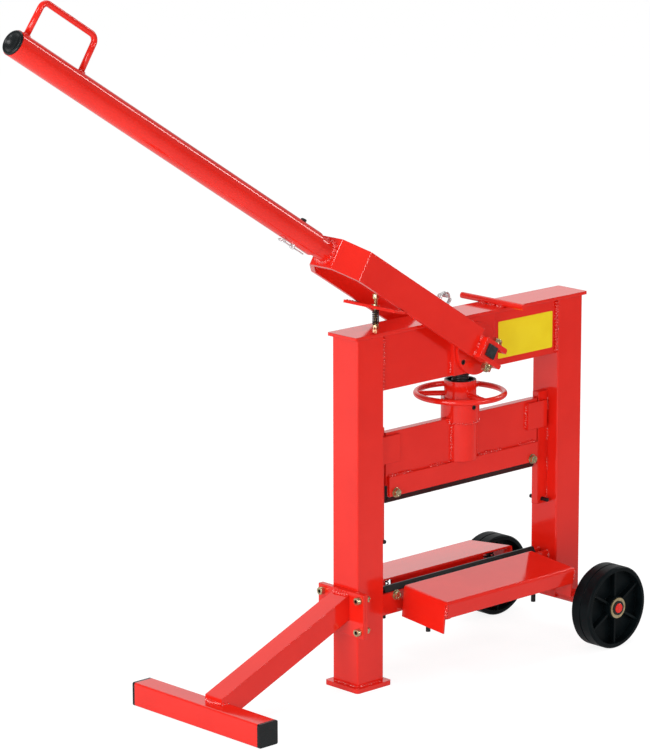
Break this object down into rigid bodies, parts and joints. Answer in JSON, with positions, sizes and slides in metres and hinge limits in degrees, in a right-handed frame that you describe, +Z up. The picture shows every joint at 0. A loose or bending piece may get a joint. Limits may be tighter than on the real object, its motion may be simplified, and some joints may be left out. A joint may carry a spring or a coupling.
{
  "type": "masonry block splitter",
  "caption": "Two-column hand lever splitter for masonry blocks: eccentric lever presses a blade carrier onto a fixed blade between sprung tables; wheels and stabiliser foot.",
  "frame": {"origin": "on the ground, midway between the two columns", "axes": "+Z up, +X along the blades towards the wheels, -Y is the front"},
  "size_m": [1.2616, 0.3434, 1.2052],
  "materials": {
    "red_paint": "glossy powder coat",
    "black_steel": "blackened steel",
    "black_plastic": "moulded plastic",
    "wheel_plastic": "moulded hard plastic",
    "yellow_zinc": "yellow zinc plate",
    "bright_zinc": "bright zinc plate",
    "bare_steel": "oiled steel"
  },
  "bodies": {
    "frame": {"left_column": "red_paint", "right_column": "red_paint", "base_plate": "red_paint", "cap_plate": "red_paint", "beam_front_plate": "red_paint", "beam_rear_plate": "red_paint", "housing_plates": "red_paint", "bearing_flanges": "red_paint", "flange_screws": "black_steel", "lever_stop_rod": "red_paint", "ring_hook": "bright_zinc", "guide_rails": "red_paint", "rail_stop_pins": "black_steel", "lower_bars": "red_paint", "lower_blade": "black_steel", "lower_blade_bolts": "yellow_zinc", "table_supports": "red_paint", "front_table_springs": "black_steel", "rear_table_springs": "black_steel", "column_flange": "red_paint", "strut_plate": "red_paint", "strut": "red_paint", "crossbar": "red_paint", "crossbar_caps": "black_plastic", "outrigger_bolts": "yellow_zinc", "axle": "red_paint", "axle_washers": "yellow_zinc", "axle_clips": "black_steel"},
    "lever_arm": {"lever_tube": "red_paint", "lever_end_plug": "black_plastic", "stirrup_handle": "red_paint", "lever_stub": "red_paint", "yoke": "red_paint", "tab_plate": "red_paint", "saddles": "red_paint", "saddle_bolts": "yellow_zinc", "eccentric_shaft": "bare_steel", "lock_pin": "black_steel", "lock_clip": "bright_zinc", "buffer_washer": "yellow_zinc", "buffer_spring": "black_steel"},
    "buffer": {"buffer_bolt": "yellow_zinc"},
    "press_plunger": {"plunger": "bare_steel", "spindle": "bare_steel"},
    "blade_carrier": {"carrier_plate": "red_paint", "clamp_bars": "red_paint", "guide_ears": "red_paint", "upper_blade": "black_steel", "upper_blade_bolts": "yellow_zinc", "carrier_tube": "red_paint", "set_screw": "black_steel"},
    "adjusting_wheel": {"handwheel": "red_paint"},
    "table_front": {"front_table": "red_paint", "front_table_pins": "black_steel"},
    "table_rear": {"rear_table": "red_paint", "rear_table_pins": "black_steel"},
    "road_wheel_front": {"wheel_front": "wheel_plastic"},
    "road_wheel_rear": {"wheel_rear": "wheel_plastic"},
    "hanging_ring": {"split_ring": "bright_zinc"}
  },
  "joints": [
    {"name": "lever", "type": "hinge", "parent": "frame", "child": "lever_arm", "pos_m": [0, 0, 0.547], "axis": [0, 1, 0], "range_deg": [0, 86.9]},
    {"name": "plunger", "type": "slide", "parent": "frame", "child": "press_plunger", "axis": [0, 0, 1], "range_m": [0, 0.0138]},
    {"name": "blade_height", "type": "slide", "parent": "press_plunger", "child": "blade_carrier", "axis": [0, 0, 1], "range_m": [-0.12, 0]},
    {"name": "handwheel_turn", "type": "hinge", "parent": "blade_carrier", "child": "adjusting_wheel", "pos_m": [0, 0, 0.464], "axis": [0, 0, 1], "range_deg": [-7200, 0]},
    {"name": "buffer_slide", "type": "slide", "parent": "lever_arm", "child": "buffer", "axis": [0, 0, 1], "range_m": [0, 0.008], "stiffness_N_per_m": 3000, "springref_m": -0.01, "deforming": ["buffer_spring"]},
    {"name": "front_table_press", "type": "slide", "parent": "frame", "child": "table_front", "axis": [0, 0, 1], "range_m": [-0.012, 0], "stiffness_N_per_m": 4000, "springref_m": 0.02, "deforming": ["front_table_springs"]},
    {"name": "rear_table_press", "type": "slide", "parent": "frame", "child": "table_rear", "axis": [0, 0, 1], "range_m": [-0.012, 0], "stiffness_N_per_m": 4000, "springref_m": 0.02, "deforming": ["rear_table_springs"]},
    {"name": "front_wheel_roll", "type": "hinge", "parent": "frame", "child": "road_wheel_front", "pos_m": [0.2261, -0.1405, 0.0725], "axis": [0, 1, 0], "continuous": true},
    {"name": "rear_wheel_roll", "type": "hinge", "parent": "frame", "child": "road_wheel_rear", "pos_m": [0.2261, 0.1405, 0.0725], "axis": [0, 1, 0], "continuous": true},
    {"name": "ring_swing", "type": "hinge", "parent": "frame", "child": "hanging_ring", "pos_m": [-0.0233, 0.015, 0.6336], "axis": [0, 1, 0], "range_deg": [-35, 35]}
  ],
  "couplings": [
    {"joint": "plunger", "follows": "lever", "m_per_rad": 0.0090686},
    {"joint": "blade_height", "follows": "handwheel_turn", "m_per_rad": 0.00095493}
  ]
}
